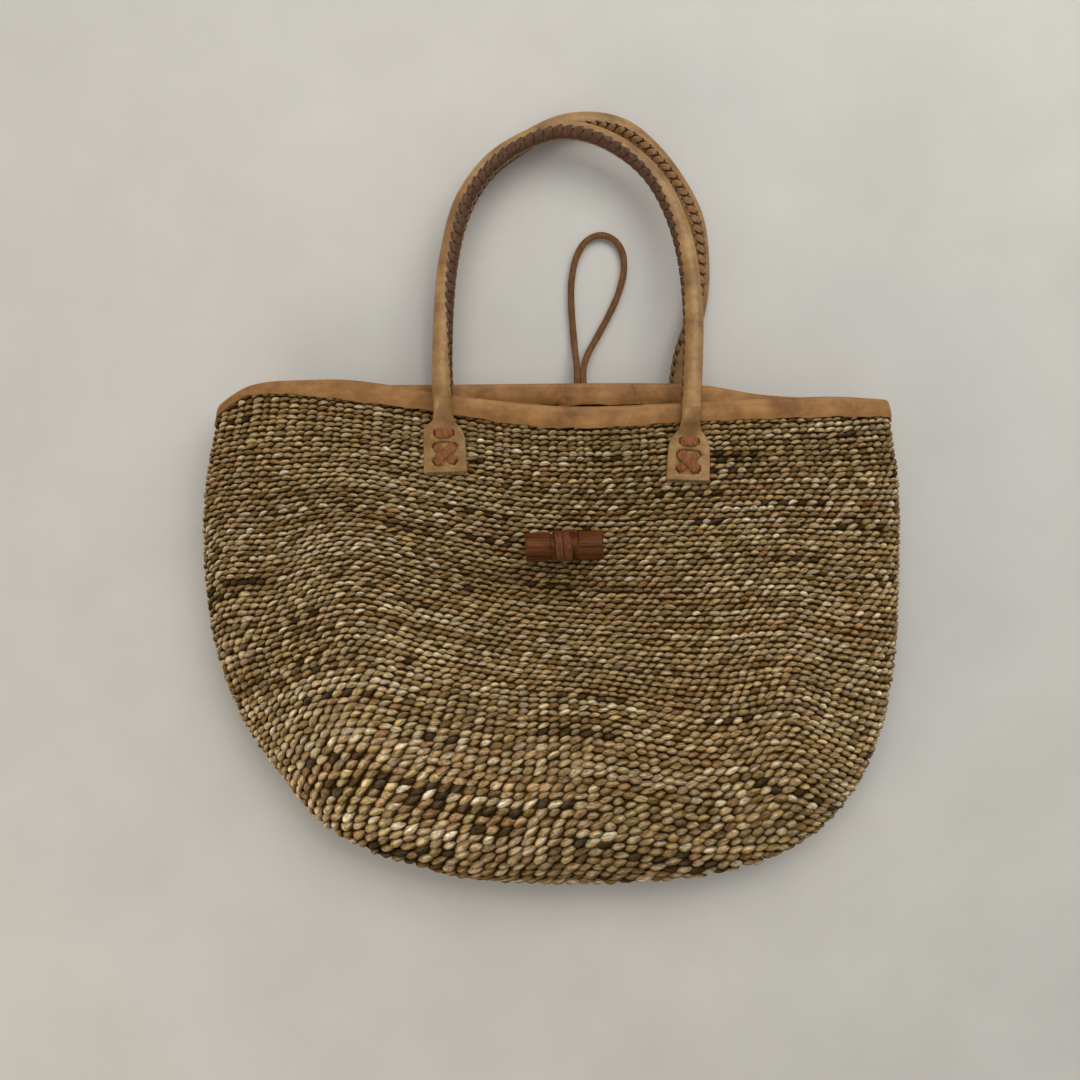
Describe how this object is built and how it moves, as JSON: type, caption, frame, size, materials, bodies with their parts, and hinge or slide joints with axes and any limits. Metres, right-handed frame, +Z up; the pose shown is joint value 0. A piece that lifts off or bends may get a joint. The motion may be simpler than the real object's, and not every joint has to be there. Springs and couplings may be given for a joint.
{
  "type": "raffia tote bag",
  "caption": "Soft hand-woven fibre tote lying on its back, with a leather-bound mouth, laced tubular leather handles on stitched tabs, and a wooden toggle with a thong loop.",
  "frame": {"origin": "on the flat underside of the back panel, which the bag lies on, near the middle of its width", "axes": "+Z up out of the front panel, +Y from the bag's round bottom towards its mouth and handles, +X to the right seen from the front"},
  "size_m": [0.481, 0.5414, 0.0667],
  "materials": {
    "raffia": "matt twined plant fibre",
    "rim_leather": "waxed, worn along its edges",
    "handle_leather": "waxed, with a soft sheen",
    "thong": "dull, dark and rough-edged",
    "lacing_thong": "dark, dull",
    "rope": "matt twisted fibre",
    "wood": "oiled, knife-cut"
  },
  "bodies": {
    "bag": {"woven_body": "raffia", "rim_binding": "rim_leather", "handle_tab_front_left": "handle_leather", "handle_tab_front_right": "handle_leather", "handle_tab_back_left": "handle_leather", "handle_tab_back_right": "handle_leather", "bar_stitch_front_left": "thong", "bar_stitch_front_right": "thong", "bar_stitch_back_left": "thong", "bar_stitch_back_right": "thong", "cross_stitch_front_left": "thong", "cross_stitch_front_right": "thong", "cross_stitch_back_left": "thong", "cross_stitch_back_right": "thong", "toggle_tie": "thong", "closure_loop_root": "thong"},
    "front_handle": {"front_handle_cover": "handle_leather", "front_handle_core": "rope", "front_handle_lacing": "lacing_thong"},
    "back_handle": {"back_handle_cover": "handle_leather", "back_handle_core": "rope", "back_handle_lacing": "lacing_thong"},
    "toggle": {"toggle_peg": "wood", "toggle_wrap": "thong"},
    "loop": {"closure_loop": "thong"}
  },
  "joints": [
    {"name": "front_handle_swing", "type": "hinge", "parent": "bag", "child": "front_handle", "pos_m": [0.00933, 0.15472, 0.04768], "axis": [0.9995, -0.0328, -0.0001], "range_deg": [0, 140]},
    {"name": "back_handle_swing", "type": "hinge", "parent": "bag", "child": "back_handle", "pos_m": [0.006, 0.16572, 0.0068], "axis": [1, 0.0041, 0], "range_deg": [-140, 0]},
    {"name": "toggle_swivel", "type": "hinge", "parent": "bag", "child": "toggle", "pos_m": [0.0074, 0.06729, 0.04395], "axis": [-0.0003, 0.0862, 0.9963], "range_deg": [-90, 90]},
    {"name": "closure_loop_lift", "type": "hinge", "parent": "bag", "child": "loop", "pos_m": [0.0195, 0.17465, 0.01825], "axis": [1, 0, 0], "range_deg": [0, 120]}
  ]
}
